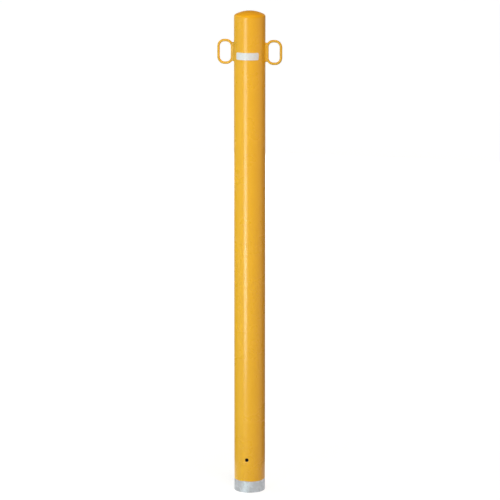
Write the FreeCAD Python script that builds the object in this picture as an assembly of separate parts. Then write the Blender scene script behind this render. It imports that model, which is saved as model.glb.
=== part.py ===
import FreeCAD, Part
import math
import os

from FreeCAD import Vector

# Parking post, in millimetres. Z = 0 is the cut lower end, the post's axis is Z,
# the chain loops lie along X and the front, with the label and the hole, faces -Y.

# Tube
above_ground = 850.0         # from the ground line to the top of the dome
in_ground = 100.0            # from the ground line down to the cut end
tube_diameter = 60.5
tube_wall = 2.3
foot_break = 0.4             # chamfer on the outer edge of the cut end
anchor_hole_diameter = 7.0   # cross hole for the bar that keeps the post from being drawn out
anchor_hole_height = 66.5    # from the cut end to the hole's axis

# Dome cap, a dished end that is welded on the tube's top end and ground flush
crown_share = 1.0            # radius of the crown over the tube's diameter
knuckle_share = 0.1          # radius of the bend round the crown over the tube's diameter
cap_flange = 3.0             # straight run from the knuckle down to the tube's top end
cap_thickness = 2.0

# Chain loops, closed ovals of round rod
rod_diameter = 5.0
loop_opening_width = 21.5
loop_opening_height = 38.5
loop_end_flat = 3.5          # straight run across the loop's top and bottom
loop_standoff = 1.8          # gap between the tube's wall and the rod's near side
loop_drop = 79.7             # from the top of the dome down to the loop's centre

# Lugs between tube and loops
lug_height = 37.0
lug_inset = 0.3              # each flank of the lug lies this far inside the rod's side
lug_end_land = 0.4           # flat left between the two rounded edges of the lug's end
weld_leg = 2.2               # fillet weld round the lug's foot

# Label
label_width = 48.0           # along the curve of the tube
label_height = 14.0
label_corner = 3.0
label_thickness = 0.3
label_drop = 85.2            # from the top of the dome down to the label's middle

# Sizes that follow from those above
tube_radius = tube_diameter / 2
bore_radius = tube_radius - tube_wall
top_height = in_ground + above_ground
crown_radius = crown_share * tube_diameter
knuckle_radius = knuckle_share * tube_diameter
knuckle_reach = tube_radius - knuckle_radius
knuckle_lift = math.sqrt((crown_radius - knuckle_radius) ** 2 - knuckle_reach ** 2)
knuckle_height = top_height - crown_radius + knuckle_lift
rim_height = knuckle_height - cap_flange
rod_radius = rod_diameter / 2
path_half_width = loop_opening_width / 2 + rod_radius
path_half_height = loop_opening_height / 2 + rod_radius
path_corner = path_half_width - loop_end_flat / 2
loop_centre = Vector(tube_radius + loop_standoff + rod_radius + path_half_width, 0, top_height - loop_drop)
lug_half_thickness = rod_radius - lug_inset
label_level = top_height - label_drop

X_AXIS = Vector(1, 0, 0)
Y_AXIS = Vector(0, 1, 0)
Z_AXIS = Vector(0, 0, 1)
ORIGIN = Vector(0, 0, 0)
MATCH = 1e-4                 # how near two places or lengths count as the same


def arc(centre, across, up, radius, start, end):
    """Edge of a circular arc between two angles in degrees, in the plane of two directions."""
    points = []
    for angle in (start, (start + end) / 2, end):
        turn = math.radians(angle)
        points.append(centre + across * (radius * math.cos(turn)) + up * (radius * math.sin(turn)))
    return Part.Arc(*points).toShape()


def joined_by_lines(curves):
    """Closed wire of the curves in order, with a line from each one's end to the next one's start."""
    edges = []
    for curve, following in zip(curves, curves[1:] + curves[:1]):
        end = curve.valueAt(curve.LastParameter)
        start = following.valueAt(following.FirstParameter)
        edges.append(curve)
        if not end.isEqual(start, MATCH):
            edges.append(Part.makeLine(end, start))
    return Part.Wire(edges)


def rounded_rectangle(centre, across, up, half_width, half_height, radius):
    """Closed wire of four lines and four corner arcs, in the plane of two directions."""
    arcs = []
    for start, side, level in ((0, 1, 1), (90, -1, 1), (180, -1, -1), (270, 1, -1)):
        middle = centre + across * (side * (half_width - radius)) + up * (level * (half_height - radius))
        arcs.append(arc(middle, across, up, radius, start, start + 90))
    return joined_by_lines(arcs)


def make_tube():
    """The post's tube, with a broken edge at its cut end and a cross hole through both walls near it."""
    tube = Part.makeCylinder(tube_radius, rim_height)
    foot_edge = [edge for edge in tube.Edges if edge.CenterOfMass.z < MATCH]
    tube = tube.makeChamfer(foot_break, foot_edge)
    tube = tube.cut(Part.makeCylinder(bore_radius, rim_height))
    hole_start = Vector(0, -tube_diameter, anchor_hole_height)
    return tube.cut(Part.makeCylinder(anchor_hole_diameter / 2, 2 * tube_diameter, hole_start, Y_AXIS))


def make_dome_cap():
    """A dish pressed from sheet: a spherical crown, a knuckle and a straight flange on the tube's end."""
    crown_centre = Vector(0, 0, top_height - crown_radius)
    knuckle_centre = Vector(knuckle_reach, 0, knuckle_height)
    lean = math.degrees(math.atan2(knuckle_lift, knuckle_reach))
    inner_radius = tube_radius - cap_thickness
    flange_end = Part.makeLine(Vector(tube_radius, 0, rim_height), Vector(inner_radius, 0, rim_height))
    section = joined_by_lines([
        arc(crown_centre, X_AXIS, Z_AXIS, crown_radius, 90, lean),
        arc(knuckle_centre, X_AXIS, Z_AXIS, knuckle_radius, lean, 0),
        flange_end,
        arc(knuckle_centre, X_AXIS, Z_AXIS, knuckle_radius - cap_thickness, 0, lean),
        arc(crown_centre, X_AXIS, Z_AXIS, crown_radius - cap_thickness, lean, 90),
    ])
    return Part.Face(section).revolve(ORIGIN, Z_AXIS)


def make_loop_path():
    """Centre line of the right loop's rod, a rounded rectangle in the XZ plane."""
    return rounded_rectangle(loop_centre, X_AXIS, Z_AXIS, path_half_width, path_half_height, path_corner)


def make_loop():
    """The right loop: a round rod bent to a closed oval."""
    path = make_loop_path()
    first = path.OrderedEdges[0]
    start = first.FirstParameter
    section = Part.Circle(first.valueAt(start), first.tangentAt(start), rod_radius)
    return path.makePipeShell([Part.Wire(section.toShape())], True, False)


def touches(edge, solid):
    """Does the middle of the edge lie on the solid?"""
    middle = edge.valueAt((edge.FirstParameter + edge.LastParameter) / 2)
    return solid.distToShape(Part.Vertex(middle))[0] < MATCH


def make_lug():
    """The right lug, from the tube's wall to the loop's rod, with a fillet weld round its foot."""
    middle = Vector(0, 0, loop_centre.z)
    end_radius = lug_half_thickness - lug_end_land / 2
    section = rounded_rectangle(middle, Y_AXIS, Z_AXIS, lug_half_thickness, lug_height / 2, end_radius)
    bar = Part.Face(section).extrude(X_AXIS * loop_centre.x)
    reach = lug_height / 2 + 2 * weld_leg
    wall = Part.makeCylinder(tube_radius, 2 * reach, middle - Z_AXIS * reach)
    joined = wall.fuse(bar)
    foot = [edge for edge in joined.Edges if touches(edge, wall) and touches(edge, bar)]
    welded = joined.makeFillet(weld_leg, foot).cut(wall)
    inside = Part.Face(make_loop_path()).extrude(Y_AXIS * (2 * rod_diameter))
    inside.translate(Y_AXIS * -rod_diameter)
    return welded.cut(inside).cut(make_loop())


def make_label():
    """A thin curved sheet on the tube's front, with rounded corners."""
    angle = math.degrees(label_width / tube_radius)
    corner = Vector(tube_radius, 0, label_level - label_height / 2)
    across = X_AXIS * label_thickness
    up = Z_AXIS * label_height
    outline = Part.makePolygon([corner, corner + across, corner + across + up, corner + up, corner])
    sheet = Part.Face(outline).revolve(ORIGIN, Z_AXIS, angle)
    sheet.rotate(ORIGIN, Z_AXIS, -90 - angle / 2)
    corners = [edge for edge in sheet.Edges if abs(edge.Length - label_thickness) < MATCH]
    return sheet.makeFillet(label_corner, corners)


def main():
    """Write each piece to its own file, the left loop and lug as mirror images of the right ones."""
    pieces = {"post_tube": make_tube(), "dome_cap": make_dome_cap(), "label": make_label()}
    for name, shape in (("loop", make_loop()), ("lug", make_lug())):
        pieces["right_" + name] = shape
        pieces["left_" + name] = shape.mirror(ORIGIN, X_AXIS)
    os.makedirs("parts", exist_ok=True)
    for name, shape in pieces.items():
        shape.exportStep("parts/" + name + ".step")


main()
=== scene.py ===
"""Parking post: its dressed pieces, their finishes and the studio. Lengths are in metres."""
import logging
import math
from dataclasses import dataclass
from enum import Enum
from functools import partial
from typing import Callable

import bmesh
import bpy
from mathutils import Matrix, Vector


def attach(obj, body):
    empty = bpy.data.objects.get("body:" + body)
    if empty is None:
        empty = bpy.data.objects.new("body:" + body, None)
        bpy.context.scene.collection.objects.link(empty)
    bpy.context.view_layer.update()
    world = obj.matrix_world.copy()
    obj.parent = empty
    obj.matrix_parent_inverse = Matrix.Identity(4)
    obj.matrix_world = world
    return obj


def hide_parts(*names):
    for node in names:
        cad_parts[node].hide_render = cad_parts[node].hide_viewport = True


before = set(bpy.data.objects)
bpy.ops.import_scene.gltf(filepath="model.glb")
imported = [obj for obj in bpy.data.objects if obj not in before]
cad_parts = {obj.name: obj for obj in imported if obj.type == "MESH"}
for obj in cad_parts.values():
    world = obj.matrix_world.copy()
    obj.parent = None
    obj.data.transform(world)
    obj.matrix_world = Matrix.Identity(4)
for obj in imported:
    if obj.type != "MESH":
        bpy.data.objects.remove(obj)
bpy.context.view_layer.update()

Colour = tuple[float, float, float]       # linear
Span = tuple[float, float]
Socket = bpy.types.NodeSocket
Verts = list[bmesh.types.BMVert]
Edges = list[bmesh.types.BMEdge]

LOG = logging.getLogger("parking_post")
MM = 0.001
MERGE = 0.002 * MM                        # vertices nearer than this are one
UP = Vector((0, 0, 1))
ALONG_Y = Vector((0, 1, 0))
QUARTER_TURN = math.radians(90)
STAND_UP = Matrix.Rotation(QUARTER_TURN, 4, "X")   # turns what lies flat upright, to face -Y
ROUND_BEVEL = 0.5                         # the bevel profile that is an arc of a circle
FULL: Span = (0, 1)
NOISE_CORE: Span = (0.3, 0.7)             # most of a noise's strength lies in this range

# Driving dimensions that several pieces are worked out from
TUBE_RADIUS = 30.25 * MM
TOP = 950.0 * MM                          # height of the dome's top


class Side(Enum):
    """The side of the post that a loop and its lug stand on, as the sign of X."""

    LEFT = -1
    RIGHT = 1


class NodeGraph:
    """A node tree whose nodes are added and joined in short lines."""

    def __init__(self, tree: bpy.types.NodeTree) -> None:
        """Take a tree and empty it."""
        self.tree = tree
        self.tree.nodes.clear()

    def add(self, kind: str, **sockets: object) -> bpy.types.Node:
        """Add a node and set those of its sockets that are named.

        Args:
            kind: The node's type name.
            **sockets: Values for input sockets, with _ for a space in a socket's name.

        Returns:
            The new node.
        """
        node = self.tree.nodes.new(kind)
        for name, value in sockets.items():
            node.inputs[name.replace("_", " ")].default_value = value
        return node

    def join(self, source: Socket, target: Socket) -> None:
        """Link an output socket to an input socket."""
        self.tree.links.new(source, target)

    def spread(self, value: Socket, source: Span, target: Span) -> Socket:
        """Map one range of a value onto another, held at its ends.

        Args:
            value: The socket to map.
            source: The range that is read.
            target: The range that comes out.

        Returns:
            The mapped value.
        """
        node = self.add("ShaderNodeMapRange", From_Min=source[0], From_Max=source[1],
                        To_Min=target[0], To_Max=target[1])
        self.join(value, node.inputs["Value"])
        return node.outputs["Result"]

    def reckon(self, operation: str, first: Socket, second: Socket) -> Socket:
        """Work out one value from two.

        Args:
            operation: The operation's name, such as ADD.
            first: One value.
            second: The other value.

        Returns:
            The outcome.
        """
        node = self.add("ShaderNodeMath")
        node.operation = operation
        self.join(first, node.inputs[0])
        self.join(second, node.inputs[1])
        return node.outputs["Value"]

    def seen_or_mirrored(self) -> Socket:
        """Tell the rays of the view, of gloss and of glass from those that carry light.

        Returns:
            A socket that is 1 for those rays and 0 for the others.
        """
        path = self.add("ShaderNodeLightPath").outputs
        seen = path["Is Camera Ray"]
        for kind in ("Is Glossy Ray", "Is Transmission Ray"):
            seen = self.reckon("MAXIMUM", seen, path[kind])
        return seen


class ShaderGraph(NodeGraph):
    """A material's node tree, with a principled shader and the piece's own coordinates."""

    def __init__(self, name: str) -> None:
        """Start a material with an output and a principled shader.

        Args:
            name: The material's name.
        """
        self.material = bpy.data.materials.new(name)
        self.material.use_nodes = True
        super().__init__(self.material.node_tree)
        self.output = self.add("ShaderNodeOutputMaterial")
        self.shader = self.add("ShaderNodeBsdfPrincipled")
        self.join(self.shader.outputs["BSDF"], self.output.inputs["Surface"])
        self.place = self.add("ShaderNodeTexCoord").outputs["Object"]

    def noise(self, scale: float, detail: float = 2.0) -> Socket:
        """Noise over the object's own coordinates.

        Args:
            scale: Cells per metre.
            detail: Octaves of finer noise.

        Returns:
            The noise's strength, from 0 to 1.
        """
        node = self.add("ShaderNodeTexNoise", Scale=scale, Detail=detail)
        self.join(self.place, node.inputs["Vector"])
        return node.outputs["Fac"]

    def between(self, factor: Socket, low: Colour, high: Colour) -> Socket:
        """A colour that goes from low to high with a factor.

        Args:
            factor: The socket that chooses between them.
            low: Colour at 0.
            high: Colour at 1.

        Returns:
            The colour socket.
        """
        node = self.add("ShaderNodeValToRGB")
        for stop, colour in zip(node.color_ramp.elements, (low, high)):
            stop.color = (*colour, 1)
        self.join(factor, node.inputs["Fac"])
        return node.outputs["Color"]

    def blend(self, factor: Socket, low: Socket, high: Socket) -> Socket:
        """Mix two colour sockets.

        Args:
            factor: The socket that chooses between them.
            low: Colour at 0.
            high: Colour at 1.

        Returns:
            The mixed colour.
        """
        node = self.add("ShaderNodeMix")
        node.data_type = "RGBA"
        ends = {socket.identifier: socket for socket in (*node.inputs, *node.outputs)}
        self.join(factor, ends["Factor_Float"])
        self.join(low, ends["A_Color"])
        self.join(high, ends["B_Color"])
        return ends["Result_Color"]

    def relief(self, height: Socket, depth: float, strength: float) -> None:
        """Give the shader a bump.

        Args:
            height: The socket that holds the relief, from 0 to 1.
            depth: Height of the relief at 1.
            strength: How much of it shows.
        """
        node = self.add("ShaderNodeBump", Strength=strength, Distance=depth)
        self.join(height, node.inputs["Height"])
        self.join(node.outputs["Normal"], self.shader.inputs["Normal"])


@dataclass(frozen=True)
class GlossPaint:
    """Sprayed yellow gloss paint with the faint waviness that a spray gun leaves."""

    thin: Colour = (0.870, 0.455, 0.011)
    thick: Colour = (0.836, 0.428, 0.009)
    cloud_scale: float = 9.0       # drifts of a slightly deeper tone, per metre
    cloud_detail: float = 9.0
    gloss: Span = (0.26, 0.30)
    gloss_scale: float = 27.0      # patches of a slightly duller gloss, per metre
    peel_scale: float = 420.0      # orange peel cells per metre
    peel_depth: float = 0.01 * MM
    peel_strength: float = 0.2
    ior: float = 1.54

    def colour(self, graph: ShaderGraph) -> Socket:
        """The paint's clouded yellow, as a colour socket of the graph."""
        clouds = graph.noise(self.cloud_scale, self.cloud_detail)
        return graph.between(graph.spread(clouds, NOISE_CORE, FULL), self.thin, self.thick)

    def roughness(self, graph: ShaderGraph) -> Socket:
        """The paint's slightly uneven roughness, as a socket of the graph."""
        return graph.spread(graph.noise(self.gloss_scale, self.cloud_detail), NOISE_CORE, self.gloss)

    def peel(self, graph: ShaderGraph) -> None:
        """Give the graph's shader the paint's orange peel."""
        graph.relief(graph.noise(self.peel_scale), self.peel_depth, self.peel_strength)

    def material(self, name: str) -> bpy.types.Material:
        """Paint all over a piece.

        Args:
            name: The material's name.

        Returns:
            The material.
        """
        graph = ShaderGraph(name)
        graph.shader.inputs["IOR"].default_value = self.ior
        graph.join(self.colour(graph), graph.shader.inputs["Base Color"])
        graph.join(self.roughness(graph), graph.shader.inputs["Roughness"])
        self.peel(graph)
        return graph.material


@dataclass(frozen=True)
class GalvanisedSteel:
    """Hot-dip zinc with its crystal spangle."""

    dark: Colour = (0.44, 0.46, 0.48)
    light: Colour = (0.62, 0.645, 0.68)
    sheen: Span = (0.44, 0.56)
    spangle_scale: float = 170.0   # crystals per metre

    def spangle(self, graph: ShaderGraph) -> Socket:
        """Give each crystal a shade of its own.

        Args:
            graph: The graph to add to.

        Returns:
            The shade, from 0 to 1.
        """
        node = graph.add("ShaderNodeTexVoronoi", Scale=self.spangle_scale)
        graph.join(graph.place, node.inputs["Vector"])
        parts = graph.add("ShaderNodeSeparateColor")
        graph.join(node.outputs["Color"], parts.inputs["Color"])
        return parts.outputs["Red"]

    def colour(self, graph: ShaderGraph) -> Socket:
        """The crystals' greys, as a colour socket of the graph."""
        return graph.between(self.spangle(graph), self.dark, self.light)

    def roughness(self, graph: ShaderGraph) -> Socket:
        """The crystals' roughness, as a socket of the graph."""
        return graph.spread(self.spangle(graph), FULL, self.sheen)

    def material(self, name: str) -> bpy.types.Material:
        """Zinc all over a piece.

        Args:
            name: The material's name.

        Returns:
            The material.
        """
        graph = ShaderGraph(name)
        graph.shader.inputs["Metallic"].default_value = 1.0
        graph.join(self.colour(graph), graph.shader.inputs["Base Color"])
        graph.join(self.roughness(graph), graph.shader.inputs["Roughness"])
        return graph.material


@dataclass(frozen=True)
class PartPaintedTube:
    """Galvanised tube whose paint stops a little above its lower end; its bore and hole take zinc darkened
    as painted shade.
    """

    paint: GlossPaint = GlossPaint()
    zinc: GalvanisedSteel = GalvanisedSteel()
    # Much darker than the zinc outside: painted shade for the bore and the hole's wall.
    shade_darkened_zinc: GalvanisedSteel = GalvanisedSteel((0.11, 0.12, 0.13), (0.17, 0.18, 0.19), (0.52, 0.64))
    paint_line: float = 23.0 * MM  # height of the paint's edge
    feather: float = 0.35 * MM     # the edge thins out over this much each way
    waver: float = 0.5 * MM        # and wanders this far
    waver_scale: float = 90.0

    def cover(self, graph: ShaderGraph) -> Socket:
        """Tell where the paint is.

        Args:
            graph: The graph to add to.

        Returns:
            A socket that is 0 on bare zinc and 1 on paint.
        """
        parts = graph.add("ShaderNodeSeparateXYZ")
        graph.join(graph.place, parts.inputs["Vector"])
        drift = graph.spread(graph.noise(self.waver_scale), NOISE_CORE, (-self.waver, self.waver))
        height = graph.reckon("ADD", parts.outputs["Z"], drift)
        return graph.spread(height, (self.paint_line - self.feather, self.paint_line + self.feather), FULL)

    def material(self, name: str) -> bpy.types.Material:
        """Paint above the line and bare zinc below it.

        Args:
            name: The material's name.

        Returns:
            The material.
        """
        graph = ShaderGraph(name)
        shader, cover = graph.shader, self.cover(graph)
        shader.inputs["IOR"].default_value = self.paint.ior
        colour = graph.blend(cover, self.zinc.colour(graph), self.paint.colour(graph))
        roughness = graph.blend(cover, self.zinc.roughness(graph), self.paint.roughness(graph))
        graph.join(colour, shader.inputs["Base Color"])
        graph.join(roughness, shader.inputs["Roughness"])
        graph.join(graph.spread(cover, FULL, (1, 0)), shader.inputs["Metallic"])
        self.paint.peel(graph)
        return graph.material


@dataclass(frozen=True)
class LabelPrint:
    """White film or the pale ink line that runs round it."""

    low: Colour
    high: Colour
    gloss: float = 0.42
    grain_scale: float = 260.0
    pit_scale: float = 780.0
    pit_depth: float = 0.01 * MM
    pit_strength: float = 0.2

    def material(self, name: str) -> bpy.types.Material:
        """The film's slightly uneven white, or the line's ink.

        Args:
            name: The material's name.

        Returns:
            The material.
        """
        graph = ShaderGraph(name)
        graph.shader.inputs["Roughness"].default_value = self.gloss
        grain = graph.spread(graph.noise(self.grain_scale), NOISE_CORE, FULL)
        graph.join(graph.between(grain, self.low, self.high), graph.shader.inputs["Base Color"])
        graph.relief(graph.noise(self.pit_scale), self.pit_depth, self.pit_strength)
        return graph.material


TUBE_COAT = PartPaintedTube()
ROD_PAINT = GlossPaint(thin=(0.768, 0.428, 0.014), thick=(0.730, 0.400, 0.011), gloss=(0.36, 0.42))
LABEL_WHITE = LabelPrint((0.70, 0.73, 0.77), (0.76, 0.78, 0.81))
LABEL_INK = LabelPrint((0.48, 0.53, 0.58), (0.55, 0.59, 0.64))


def verts_of(geom: list) -> Verts:
    """The vertices in what an operator gave back."""
    return [item for item in geom if isinstance(item, bmesh.types.BMVert)]


def edges_among(verts: Verts) -> Edges:
    """Find the edges with both ends among some vertices.

    Args:
        verts: The vertices.

    Returns:
        The edges, each once and in the order of the vertices.
    """
    chosen = set(verts)
    linked = dict.fromkeys(edge for vert in verts for edge in vert.link_edges)
    return [edge for edge in linked if chosen.issuperset(edge.verts)]


def extruded_ring(bm: bmesh.types.BMesh, ring: Verts) -> Verts:
    """Extrude a ring of edges in place.

    Args:
        bm: The ring's mesh.
        ring: The ring's vertices.

    Returns:
        The new ring's vertices, where the old ones are.
    """
    return verts_of(bmesh.ops.extrude_edge_only(bm, edges=edges_among(ring))["geom"])


class ProfilePen:
    """Draws a chain of edges in the XZ plane by extruding and spinning its last vertex."""

    def __init__(self, bm: bmesh.types.BMesh, x: float, z: float) -> None:
        """Put the first vertex down.

        Args:
            bm: The mesh to draw in.
            x: Distance from the post's axis.
            z: Height.
        """
        self.bm = bm
        self.first = self.last = bm.verts.new((x, 0, z))

    def line_to(self, x: float, z: float) -> None:
        """Extrude the last vertex to a place."""
        self.last = bmesh.ops.extrude_vert_indiv(self.bm, verts=[self.last])["verts"][0]
        self.last.co = (x, 0, z)

    def arc_about(self, x: float, z: float, turn: float, steps: int) -> None:
        """Spin the last vertex about a centre.

        Args:
            x: The centre's distance from the post's axis.
            z: The centre's height.
            turn: Angle from +Z towards +X.
            steps: Edges in the arc.
        """
        made = bmesh.ops.spin(self.bm, geom=[self.last], cent=(x, 0, z), axis=ALONG_Y,
                              angle=turn, steps=steps)
        self.last = verts_of(made["geom_last"])[0]

    def close(self) -> None:
        """Join the last vertex to the first."""
        self.bm.edges.new((self.last, self.first))


def lathe(bm: bmesh.types.BMesh, turns: int) -> None:
    """Spin all that is drawn so far once round the post's axis.

    Args:
        bm: The mesh that holds the profile.
        turns: Steps in the full turn.
    """
    bmesh.ops.spin(bm, geom=bm.verts[:] + bm.edges[:], cent=(0, 0, 0), axis=UP,
                   angle=math.tau, steps=turns, use_merge=True)


def finished(name: str, bm: bmesh.types.BMesh, materials: list[bpy.types.Material],
             crease: float = 35.0) -> bpy.types.Object:
    """Close a mesh, turn its faces outwards, shade it smooth and put it in the scene.

    Args:
        name: The object's name.
        bm: The mesh, which is freed.
        materials: Its materials, in slot order.
        crease: Edges that turn by more degrees than this stay sharp.

    Returns:
        The object, at the origin.
    """
    bmesh.ops.remove_doubles(bm, verts=bm.verts, dist=MERGE)
    bmesh.ops.recalc_face_normals(bm, faces=bm.faces)
    for face in bm.faces:
        face.smooth = True
    mesh = bpy.data.meshes.new(name)
    bm.to_mesh(mesh)
    bm.free()
    mesh.set_sharp_from_angle(angle=math.radians(crease))
    for material in materials:
        mesh.materials.append(material)
    piece = bpy.data.objects.new(name, mesh)
    bpy.context.scene.collection.objects.link(piece)
    return piece


def mounted(piece: bpy.types.Object, node: str) -> bpy.types.Object:
    """Let a piece stand for a node of the frame.

    Args:
        piece: The dressed piece.
        node: The node that it stands for.

    Returns:
        The piece.
    """
    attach(piece, "root")
    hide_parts(node)
    LOG.info("%s stands for %s with %d faces", piece.name, node, len(piece.data.polygons))
    return piece


@dataclass
class DomeCap:
    """The dished end on the tube's top: a spherical crown, a knuckle and a straight flange, all flush."""

    crown: float = 2 * TUBE_RADIUS
    knuckle: float = 0.2 * TUBE_RADIUS
    flange: float = 3.0 * MM
    sheet: float = 2.0 * MM
    crown_steps: int = 20
    knuckle_steps: int = 14
    inner_knuckle_steps: int = 10
    turns: int = 128

    @property
    def reach(self) -> float:
        """Distance of the knuckle's centre from the post's axis."""
        return TUBE_RADIUS - self.knuckle

    @property
    def lift(self) -> float:
        """Height of the knuckle's centre over the crown's centre."""
        return math.sqrt((self.crown - self.knuckle) ** 2 - self.reach ** 2)

    @property
    def bend(self) -> float:
        """Height of the knuckle's centre, where the straight flange begins."""
        return TOP - self.crown + self.lift

    @property
    def rim(self) -> float:
        """Height of the flange's lower edge, which stands on the tube."""
        return self.bend - self.flange

    def draw_section(self, bm: bmesh.types.BMesh) -> None:
        """Draw the dish's section from the crown's top, down the flange and back up inside.

        Args:
            bm: The mesh to draw in.
        """
        knuckle_turn = math.atan2(self.lift, self.reach)
        crown_turn = QUARTER_TURN - knuckle_turn
        crown_centre = (0, TOP - self.crown)
        knuckle_centre = (self.reach, self.bend)
        inside = TUBE_RADIUS - self.sheet
        pen = ProfilePen(bm, 0, TOP)
        pen.arc_about(*crown_centre, crown_turn, self.crown_steps)
        pen.arc_about(*knuckle_centre, knuckle_turn, self.knuckle_steps)
        pen.line_to(TUBE_RADIUS, self.rim)
        pen.line_to(inside, self.rim)
        pen.line_to(inside, self.bend)
        pen.arc_about(*knuckle_centre, -knuckle_turn, self.inner_knuckle_steps)
        pen.arc_about(*crown_centre, -crown_turn, self.crown_steps)

    def build(self, paint: bpy.types.Material) -> bpy.types.Object:
        """Make the cap.

        Args:
            paint: Its finish.

        Returns:
            The cap.
        """
        bm = bmesh.new()
        self.draw_section(bm)
        lathe(bm, self.turns)
        return mounted(finished("cap_painted", bm, [paint]), "dome_cap")


@dataclass
class PostTube:
    """The round tube, with a cross hole near its foot and a bare lower end."""

    height: float                  # up to the cap's rim
    wall: float = 2.3 * MM
    foot_break: float = 0.4 * MM
    hole_radius: float = 3.5 * MM
    hole_height: float = 66.5 * MM
    hole_edge: float = 0.35 * MM   # paint rolls over the hole's edge
    hole_edge_steps: int = 2
    turns: int = 128
    patch: int = 4                 # rows and columns of faces each way that the hole is set in
    row: float = 1.5 * MM
    near_wall: float = 0.25        # a face within this share of the wall's thickness lies on the wall

    @property
    def bore(self) -> float:
        """Radius of the inner wall."""
        return TUBE_RADIUS - self.wall

    @property
    def rows(self) -> list[float]:
        """Heights of the rows of faces round the hole, from low to high."""
        return [self.hole_height + step * self.row for step in range(-self.patch, self.patch + 1)]

    def draw_section(self, bm: bmesh.types.BMesh) -> None:
        """Draw the wall's section, with the rows of faces that the hole needs.

        Args:
            bm: The mesh to draw in.
        """
        pen = ProfilePen(bm, self.bore, 0)
        pen.line_to(TUBE_RADIUS - self.foot_break, 0)
        pen.line_to(TUBE_RADIUS, self.foot_break)
        for level in self.rows:
            pen.line_to(TUBE_RADIUS, level)
        pen.line_to(TUBE_RADIUS, self.height)
        pen.line_to(self.bore, self.height)
        for level in reversed(self.rows):
            pen.line_to(self.bore, level)
        pen.close()

    def on_wall(self, middle: Vector, radius: float) -> bool:
        """Does the middle of a face lie on the wall of that radius?"""
        return abs(middle.xy.length - radius) < self.near_wall * self.wall

    def in_patch(self, face: bmesh.types.BMFace, radius: float, facing: int) -> bool:
        """Is a face one of those that make room for the hole?

        Args:
            face: The face.
            radius: Radius of the wall that is opened.
            facing: -1 on the front and 1 on the back.

        Returns:
            True for a face of that wall round the hole's middle.
        """
        middle = face.calc_center_median()
        turn = math.atan2(middle.x, facing * middle.y)
        return (self.on_wall(middle, radius)
                and abs(middle.z - self.hole_height) < self.patch * self.row
                and abs(turn) < self.patch * math.tau / self.turns)

    def open_wall(self, bm: bmesh.types.BMesh, radius: float, facing: int) -> Edges:
        """Put a round opening into one wall.

        Args:
            bm: The tube's mesh.
            radius: Radius of that wall.
            facing: -1 on the front and 1 on the back.

        Returns:
            The edges of the opening.
        """
        faces = [face for face in bm.faces if self.in_patch(face, radius, facing)]
        inner = set(faces)
        border = [edge for face in faces for edge in face.edges if not inner.issuperset(edge.link_faces)]
        bmesh.ops.delete(bm, geom=faces, context="FACES")
        across = Matrix.Translation((0, 0, self.hole_height)) @ STAND_UP
        circle = bmesh.ops.create_circle(bm, segments=len(border), radius=self.hole_radius, matrix=across)
        for vert in circle["verts"]:
            vert.co.y = facing * math.sqrt(radius ** 2 - vert.co.x ** 2)
        rim = edges_among(circle["verts"])
        bmesh.ops.bridge_loops(bm, edges=border + rim)
        return rim

    def drill(self, bm: bmesh.types.BMesh) -> None:
        """Open the cross hole in the front and the back, and roll its outer edges over.

        Args:
            bm: The tube's mesh.
        """
        outer_rims = []
        for facing in (-1, 1):
            outer = self.open_wall(bm, TUBE_RADIUS, facing)
            inner = self.open_wall(bm, self.bore, facing)
            bmesh.ops.bridge_loops(bm, edges=outer + inner)
            outer_rims += outer
        bmesh.ops.bevel(bm, geom=outer_rims, offset=self.hole_edge, offset_type="OFFSET", affect="EDGES",
                        segments=self.hole_edge_steps, profile=ROUND_BEVEL, material=-1)

    def takes_painted_shade(self, face: bmesh.types.BMFace) -> bool:
        """Does a face lie in the bore or in the hole's wall, which take darkened zinc as painted shade?

        Args:
            face: The face.

        Returns:
            True for a face of the bore or of the hole's wall.
        """
        middle = face.calc_center_median()
        from_hole = math.hypot(middle.x, middle.z - self.hole_height)
        return self.on_wall(middle, self.bore) or from_hole < self.hole_radius + MERGE

    def build(self, coat: PartPaintedTube) -> bpy.types.Object:
        """Make the tube.

        Args:
            coat: Its finish outside, with the darkened zinc that paints shade in the bore and the hole.

        Returns:
            The tube.
        """
        bm = bmesh.new()
        self.draw_section(bm)
        lathe(bm, self.turns)
        self.drill(bm)
        # The bore and the hole's wall take the darkened zinc, which is painted shade.
        for face in bm.faces:
            face.material_index = int(self.takes_painted_shade(face))
        materials = [coat.material("part_painted_tube"), coat.shade_darkened_zinc.material("galvanised_bore_painted_shade")]
        return mounted(finished("tube_painted", bm, materials), "post_tube")


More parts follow.
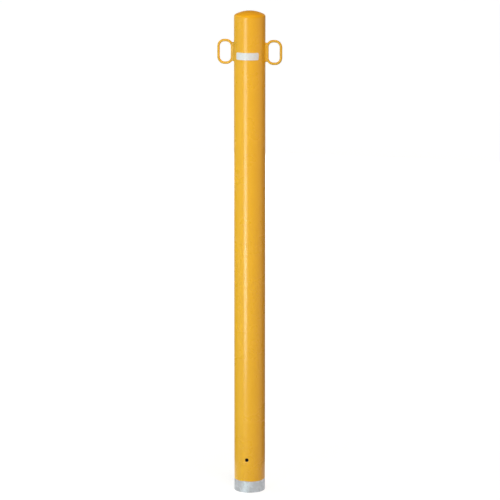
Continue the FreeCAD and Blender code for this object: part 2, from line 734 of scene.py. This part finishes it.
@dataclass
class ChainLoop:
    """A closed oval of round rod beside the tube, in the XZ plane."""

    side: Side
    rod: float = 2.5 * MM            # radius
    opening: Span = (21.5 * MM, 38.5 * MM)   # width and height
    end_flat: float = 3.5 * MM       # straight run across the top and the bottom
    standoff: float = 1.8 * MM       # gap between the tube's wall and the rod's near side
    drop: float = 79.7 * MM          # from the dome's top down to the loop's middle
    around: int = 32
    bend_steps: int = 20

    @property
    def half_width(self) -> float:
        """From the loop's middle to the rod's centre line at its side."""
        return self.opening[0] / 2 + self.rod

    @property
    def half_height(self) -> float:
        """From the loop's middle to the rod's centre line at its top."""
        return self.opening[1] / 2 + self.rod

    @property
    def corner(self) -> float:
        """Radius of the centre line's bends."""
        return self.half_width - self.end_flat / 2

    @property
    def centre_x(self) -> float:
        """Distance of the loop's middle from the post's axis."""
        return TUBE_RADIUS + self.standoff + self.rod + self.half_width

    @property
    def centre_z(self) -> float:
        """Height of the loop's middle."""
        return TOP - self.drop

    def near_line(self, z: float) -> float:
        """Follow the rod's centre line on the tube's side.

        Args:
            z: The height.

        Returns:
            X of the centre line at that height.
        """
        past = abs(z - self.centre_z) - (self.half_height - self.corner)
        swing = math.sqrt(max(self.corner ** 2 - max(past, 0) ** 2, 0))
        return self.centre_x - self.half_width + self.corner - swing

    def bend_rod(self, bm: bmesh.types.BMesh) -> None:
        """Bend the rod: a circle is extruded along the straights and spun round the corners.

        Args:
            bm: The mesh to build in.
        """
        start = Matrix.Translation((self.centre_x + self.half_width, 0, self.centre_z))
        ring = bmesh.ops.create_circle(bm, segments=self.around, radius=self.rod, matrix=start)["verts"]
        tall = self.half_height - self.corner
        wide = self.half_width - self.corner
        heading = UP.copy()
        runs = (tall, 2 * wide, 2 * tall, 2 * wide, tall)
        corners = ((wide, tall), (-wide, tall), (-wide, -tall), (wide, -tall))
        for index, run in enumerate(runs):
            ring = extruded_ring(bm, ring)
            bmesh.ops.translate(bm, verts=ring, vec=heading * run)
            if index == len(corners):
                break
            dx, dz = corners[index]
            made = bmesh.ops.spin(bm, geom=ring + edges_among(ring), axis=ALONG_Y, angle=-QUARTER_TURN,
                                  cent=(self.centre_x + dx, 0, self.centre_z + dz), steps=self.bend_steps)
            ring = verts_of(made["geom_last"])
            heading.rotate(Matrix.Rotation(-QUARTER_TURN, 3, "Y"))

    def build(self, paint: bpy.types.Material) -> bpy.types.Object:
        """Make the loop on its side.

        Args:
            paint: Its finish.

        Returns:
            The loop.
        """
        bm = bmesh.new()
        self.bend_rod(bm)
        bmesh.ops.scale(bm, verts=bm.verts, vec=(self.side.value, 1, 1))
        name = self.side.name.lower()
        return mounted(finished(f"{name}_loop_painted", bm, [paint]), f"{name}_loop")


@dataclass
class LoopLug:
    """The lug that carries a loop: an obround bar from tube to rod, with a rippled weld round its foot."""

    loop: ChainLoop
    inset: float = 0.3 * MM          # each flank lies this far inside the rod's side
    half_tall: float = 18.5 * MM
    weld: float = 2.2 * MM
    weld_steps: int = 6
    ripple: float = 0.07             # share of the weld's width
    ripple_pitch: float = 2.6 * MM
    foot_depth: float = 0.5 * MM     # the foot's middle line lies this deep in the tube
    head_gap: float = 0.5 * MM       # the head ends this far short of the rod's centre line
    end_segments: int = 24           # sides of the circle whose halves are the lug's ends
    cuts: int = 96                   # in each long side, to carry the ripple
    crease: float = 50.0             # degrees

    @property
    def half_thick(self) -> float:
        """From the lug's middle plane to its flank."""
        return self.loop.rod - self.inset

    @property
    def reach(self) -> float:
        """From the loop's height to the middle of each half-round end."""
        return self.half_tall - self.half_thick

    def spine(self, vert: bmesh.types.BMVert) -> Vector:
        """The point on the lug's middle line that a vertex belongs to, at the vertex's own X."""
        z = min(max(vert.co.z - self.loop.centre_z, -self.reach), self.reach)
        return Vector((vert.co.x, 0, self.loop.centre_z + z))

    def wall_x(self, place: Vector, lift: float) -> float:
        """X of the tube's wall, with a lift added, at a place in the YZ plane."""
        return math.sqrt(TUBE_RADIUS ** 2 - place.y ** 2) + lift

    def head_x(self, place: Vector) -> float:
        """X of the lug's head, inside the rod, at a place in the YZ plane."""
        return self.loop.near_line(place.z) - self.head_gap

    def start_ring(self, bm: bmesh.types.BMesh) -> Verts:
        """Make the obround outline in the YZ plane.

        Args:
            bm: The mesh to build in.

        Returns:
            The outline's vertices.
        """
        half_step = Matrix.Rotation(math.pi / self.end_segments, 4, "Z")
        upright = Matrix.Rotation(QUARTER_TURN, 4, "Y") @ half_step
        ring = bmesh.ops.create_circle(bm, segments=self.end_segments, radius=self.half_thick,
                                       matrix=upright)
        for vert in ring["verts"]:
            vert.co.z += self.loop.centre_z + math.copysign(self.reach, vert.co.z)
        long_edges = [edge for edge in edges_among(ring["verts"]) if edge.calc_length() > self.reach]
        bmesh.ops.subdivide_edges(bm, edges=long_edges, cuts=self.cuts)
        return bm.verts[:]

    def place(self, ring: Verts, swell: float, x_of: Callable[[Vector], float]) -> None:
        """Set a ring's distance from the lug's middle line and its X.

        Args:
            ring: The ring's vertices.
            swell: Distance outside the bar's flank.
            x_of: Gives X for a place in the YZ plane.
        """
        for vert in ring:
            spine = self.spine(vert)
            away = (vert.co - spine).normalized()
            wave = 1 + self.ripple * math.sin(math.tau * vert.co.z / self.ripple_pitch)
            vert.co = spine + away * (self.half_thick + swell * wave)
            vert.co.x = x_of(vert.co)

    def seal(self, bm: bmesh.types.BMesh, ring: Verts, x_of: Callable[[Vector], float]) -> None:
        """Close one end of the lug on its middle line.

        Args:
            bm: The lug's mesh.
            ring: The ring at that end.
            x_of: Gives X of the middle line for a place on it.
        """
        for vert in extruded_ring(bm, ring):
            vert.co = self.spine(vert)
            vert.co.x = x_of(vert.co)

    def loft(self, bm: bmesh.types.BMesh) -> None:
        """Draw the lug out from the tube's wall, up the hollow of its weld and on into the rod.

        Args:
            bm: The mesh to build in.
        """
        ring = self.start_ring(bm)
        self.place(ring, self.weld, partial(self.wall_x, lift=0))
        self.seal(bm, ring, partial(self.wall_x, lift=-self.foot_depth))
        for step in range(1, self.weld_steps + 1):
            turn = QUARTER_TURN * step / self.weld_steps
            lift = self.weld * (1 - math.cos(turn))
            ring = extruded_ring(bm, ring)
            self.place(ring, self.weld * (1 - math.sin(turn)), partial(self.wall_x, lift=lift))
        ring = extruded_ring(bm, ring)
        self.place(ring, 0, self.head_x)
        self.seal(bm, ring, self.head_x)

    def build(self, paint: bpy.types.Material) -> bpy.types.Object:
        """Make the lug on its loop's side.

        Args:
            paint: Its finish.

        Returns:
            The lug.
        """
        bm = bmesh.new()
        self.loft(bm)
        bmesh.ops.scale(bm, verts=bm.verts, vec=(self.loop.side.value, 1, 1))
        name = self.loop.side.name.lower()
        lug = finished(f"{name}_lug_painted", bm, [paint], self.crease)
        return mounted(lug, f"{name}_lug")


@dataclass
class LabelFilm:
    """The bare label on the front: a thin film with round corners and a pale line near its edge."""

    width: float = 48.0 * MM         # along the tube's curve
    height: float = 14.0 * MM
    drop: float = 85.2 * MM          # from the dome's top down to the label's middle
    corner: float = 3.0 * MM
    corner_steps: int = 8
    thickness: float = 0.3 * MM
    margin: float = 0.9 * MM         # white outside the line
    line: float = 0.35 * MM
    slices: int = 48

    def outline(self, bm: bmesh.types.BMesh) -> None:
        """Make the flat sheet with its corners rounded, in the XZ plane.

        Args:
            bm: The mesh to build in.
        """
        upright = Matrix.Translation((0, 0, TOP - self.drop)) @ STAND_UP
        shape = upright @ Matrix.Diagonal((self.width / 2, self.height / 2, 1, 1))
        corners = bmesh.ops.create_grid(bm, x_segments=1, y_segments=1, size=1, matrix=shape)["verts"]
        bmesh.ops.bevel(bm, geom=corners, offset=self.corner, offset_type="OFFSET", affect="VERTICES",
                        segments=self.corner_steps, profile=ROUND_BEVEL, material=-1)

    def rule_line(self, bm: bmesh.types.BMesh) -> None:
        """Set the line into the sheet, as a narrow band of faces in the second material.

        Args:
            bm: The sheet's mesh.
        """
        for width, slot in ((self.margin, 0), (self.line, 1)):
            inner = max(bm.faces, key=lambda face: face.calc_area())
            band = bmesh.ops.inset_region(bm, faces=[inner], thickness=width, use_even_offset=True)["faces"]
            for face in band:
                face.material_index = slot

    def wrap(self, bm: bmesh.types.BMesh) -> None:
        """Slice the sheet, give it its thickness and wrap it round the tube's front.

        Args:
            bm: The sheet's mesh.
        """
        for step in range(1, self.slices):
            x = self.width * (step / self.slices - 0.5)
            bmesh.ops.bisect_plane(bm, geom=bm.verts[:] + bm.edges[:] + bm.faces[:], dist=MERGE,
                                   plane_co=(x, 0, 0), plane_no=(1, 0, 0))
        upper = verts_of(bmesh.ops.extrude_face_region(bm, geom=bm.faces[:], use_keep_orig=True)["geom"])
        bmesh.ops.translate(bm, verts=upper, vec=(0, -self.thickness, 0))
        for vert in bm.verts:
            turn = vert.co.x / TUBE_RADIUS
            reach = TUBE_RADIUS - vert.co.y
            vert.co.x = reach * math.sin(turn)
            vert.co.y = -reach * math.cos(turn)

    def build(self, film: LabelPrint, ink: LabelPrint) -> bpy.types.Object:
        """Make the label.

        Args:
            film: The white film's finish.
            ink: The line's finish.

        Returns:
            The label.
        """
        bm = bmesh.new()
        self.outline(bm)
        self.rule_line(bm)
        self.wrap(bm)
        materials = [film.material("label_film_white"), ink.material("label_line_ink")]
        return mounted(finished("label_bare", bm, materials), "label")


@dataclass(frozen=True)
class Softbox:
    """A rectangular lamp that faces the post."""

    name: str
    bearing: float                   # degrees round the post from -Y towards +X
    elevation: float                 # degrees above the point that it faces
    distance: float
    size: Span                       # width and height
    power: float
    colour: Colour
    aim: float = 0.5                 # height on the post's axis that it faces
    mirrored: bool = True            # does gloss show its image?

    def light(self) -> None:
        """Hang the lamp and turn it to the post."""
        turn, tilt = math.radians(self.bearing), math.radians(self.elevation)
        reach = self.distance * math.cos(tilt)
        lamp = bpy.data.lights.new(self.name, "AREA")
        lamp.shape = "RECTANGLE"
        lamp.size, lamp.size_y = self.size
        lamp.energy = self.power
        lamp.color = self.colour
        holder = bpy.data.objects.new(self.name, lamp)
        holder.location = (reach * math.sin(turn), -reach * math.cos(turn),
                           self.aim + self.distance * math.sin(tilt))
        holder.rotation_euler = (QUARTER_TURN - tilt, 0, turn)
        holder.visible_camera = False
        holder.visible_glossy = self.mirrored
        bpy.context.scene.collection.objects.link(holder)


@dataclass(frozen=True)
class GreyCard:
    """A card beside the post, unseen by the camera, that keeps the post's edge from paling in the gloss."""

    name: str
    bearing: float                   # degrees round the post from -Y towards +X
    grey: Colour
    distance: float = 0.2
    size: Span = (0.30, 1.05)        # width and height

    def stand(self) -> None:
        """Stand the card on the floor, turned to the post, where only gloss sees it."""
        graph = ShaderGraph(self.name)
        graph.shader.inputs["Base Color"].default_value = (*self.grey, 1)
        graph.shader.inputs["Roughness"].default_value = 1.0
        width, height = self.size
        upright = Matrix.Translation((0, -self.distance, height / 2)) @ STAND_UP
        shape = upright @ Matrix.Diagonal((width / 2, height / 2, 1, 1))
        turned = Matrix.Rotation(math.radians(self.bearing), 4, "Z") @ shape
        bm = bmesh.new()
        bmesh.ops.create_grid(bm, x_segments=1, y_segments=1, size=1, matrix=turned)
        card = finished(self.name, bm, [graph.material])
        card.visible_camera = card.visible_diffuse = card.visible_shadow = False


@dataclass
class Studio:
    """Pale floor, soft lamps, a card at each edge of the post, dim surroundings and the camera."""

    floor_half: float = 40.0
    floor_cells: int = 8
    floor_grey: Colour = (0.24, 0.24, 0.24)
    floor_glow: Span = (0.82, 0.985)     # near the post and far from it, as the camera sees it
    glow_reach: Span = (0.3, 5.0)        # distances from the post that near and far stand for
    sky: Colour = (0.08, 0.078, 0.076)
    backdrop: Colour = (0.97, 0.97, 0.97)
    backdrop_fade: Span = (0.08, 0.17)   # sines of the elevations between which it fades out
    camera_bearing: float = 11.0         # degrees round the post from -Y towards +X
    camera_distance: float = 5.19
    camera_height: float = 1.5176
    camera_pitch: float = 11.28          # degrees down
    camera_yaw: float = 0.0063           # degrees to the right, past the post's axis
    camera_sight: float = 200.0          # the farthest that it sees
    lens_px: float = 2716.0              # focal length, in pixels of the frame
    frame_px: float = 500.0              # the frame's width
    sensor: float = 36.0                 # width of the sensor in millimetres, as the camera takes it
    softboxes: tuple[Softbox, ...] = (
        Softbox("strip_low", -20.0, 0.0, 1.1, (0.30, 0.42), 3.5, (0.77, 1.0, 1.0), aim=0.22),
        Softbox("strip_high", -20.0, 0.0, 1.1, (0.30, 0.66), 3.3, (0.77, 1.0, 1.0), aim=0.76),
        Softbox("front_fill", 33.0, 50.0, 5.0, (2.6, 2.0), 201.0, (1.0, 0.785, 0.65), mirrored=False),
        Softbox("left_wash", -70.0, 25.0, 2.4, (1.4, 1.4), 19.0, (0.97, 0.98, 0.95), mirrored=False),
        Softbox("left_edge", -120.0, 4.0, 2.4, (1.0, 1.4), 24.5, (0.97, 0.98, 0.95), mirrored=False),
        Softbox("back_fill", 177.0, 4.0, 4.0, (2.4, 1.2), 108.0, (1.0, 0.95, 0.88), mirrored=False),
    )
    cards: tuple[GreyCard, ...] = (
        GreyCard("left_card", -121.0, (0.5, 0.5, 0.5)),
        GreyCard("right_card", 143.0, (0.33, 0.33, 0.33)),
    )

    def floor_material(self) -> bpy.types.Material:
        """Make the floor's finish: a matt grey with a glow that only the view and mirrors see.

        Returns:
            The material.
        """
        graph = ShaderGraph("pale_floor")
        graph.tree.nodes.remove(graph.shader)
        matt = graph.add("ShaderNodeBsdfDiffuse", Color=(*self.floor_grey, 1))
        away = graph.add("ShaderNodeVectorMath")
        away.operation = "LENGTH"
        graph.join(graph.place, away.inputs[0])
        glow = graph.spread(away.outputs["Value"], self.glow_reach, self.floor_glow)
        emission = graph.add("ShaderNodeEmission")
        graph.join(graph.reckon("MULTIPLY", glow, graph.seen_or_mirrored()), emission.inputs["Strength"])
        both = graph.add("ShaderNodeAddShader")
        graph.join(matt.outputs["BSDF"], both.inputs[0])
        graph.join(emission.outputs["Emission"], both.inputs[1])
        graph.join(both.outputs["Shader"], graph.output.inputs["Surface"])
        return graph.material

    def lay_floor(self) -> None:
        """Lay the floor, which takes the post's shadow."""
        bm = bmesh.new()
        bmesh.ops.create_grid(bm, x_segments=self.floor_cells, y_segments=self.floor_cells,
                              size=self.floor_half)
        floor = finished("studio_floor", bm, [self.floor_material()])

    def surround(self) -> None:
        """Light the post faintly from all round, with a low pale backdrop for the view and mirrors."""
        world = bpy.data.worlds.new("studio_surroundings")
        world.use_nodes = True
        bpy.context.scene.world = world
        graph = NodeGraph(world.node_tree)
        chosen = graph.add("ShaderNodeMixShader")
        for slot, colour in ((1, self.sky), (2, self.backdrop)):
            glow = graph.add("ShaderNodeBackground", Color=(*colour, 1))
            graph.join(glow.outputs["Background"], chosen.inputs[slot])
        parts = graph.add("ShaderNodeSeparateXYZ")
        graph.join(graph.add("ShaderNodeTexCoord").outputs["Generated"], parts.inputs["Vector"])
        low = graph.spread(parts.outputs["Z"], self.backdrop_fade, (1, 0))
        graph.join(graph.reckon("MULTIPLY", low, graph.seen_or_mirrored()), chosen.inputs["Fac"])
        output = graph.add("ShaderNodeOutputWorld")
        graph.join(chosen.outputs["Shader"], output.inputs["Surface"])

    def set_camera(self) -> None:
        """Stand the camera where the photograph was taken from."""
        turn, pitch = math.radians(self.camera_bearing), math.radians(self.camera_pitch)
        lens = bpy.data.cameras.new("post_view")
        lens.sensor_fit = "HORIZONTAL"
        lens.sensor_width = self.sensor
        lens.lens = self.lens_px * self.sensor / self.frame_px
        lens.clip_end = self.camera_sight
        camera = bpy.data.objects.new("post_view", lens)
        camera.location = (self.camera_distance * math.sin(turn), -self.camera_distance * math.cos(turn),
                           self.camera_height)
        camera.rotation_euler = (QUARTER_TURN - pitch, 0, turn - math.radians(self.camera_yaw))
        bpy.context.scene.collection.objects.link(camera)
        bpy.context.scene.camera = camera

    def build(self) -> None:
        """Set the stage, the lamps and the camera."""
        bpy.context.scene.view_settings.view_transform = "Standard"
        self.lay_floor()
        for card in self.cards:
            card.stand()
        self.surround()
        for softbox in self.softboxes:
            softbox.light()
        self.set_camera()


def main() -> None:
    """Build and dress the post, then set the studio round it."""
    logging.basicConfig(level=logging.INFO, format="%(message)s")
    cap = DomeCap()
    PostTube(cap.rim).build(TUBE_COAT)
    cap.build(TUBE_COAT.paint.material("yellow_gloss_paint"))
    rod_paint = ROD_PAINT.material("yellow_deep_paint")
    for side in Side:
        loop = ChainLoop(side)
        loop.build(rod_paint)
        LoopLug(loop).build(rod_paint)
    LabelFilm().build(LABEL_WHITE, LABEL_INK)
    Studio().build()


if __name__ == "__main__":
    main()
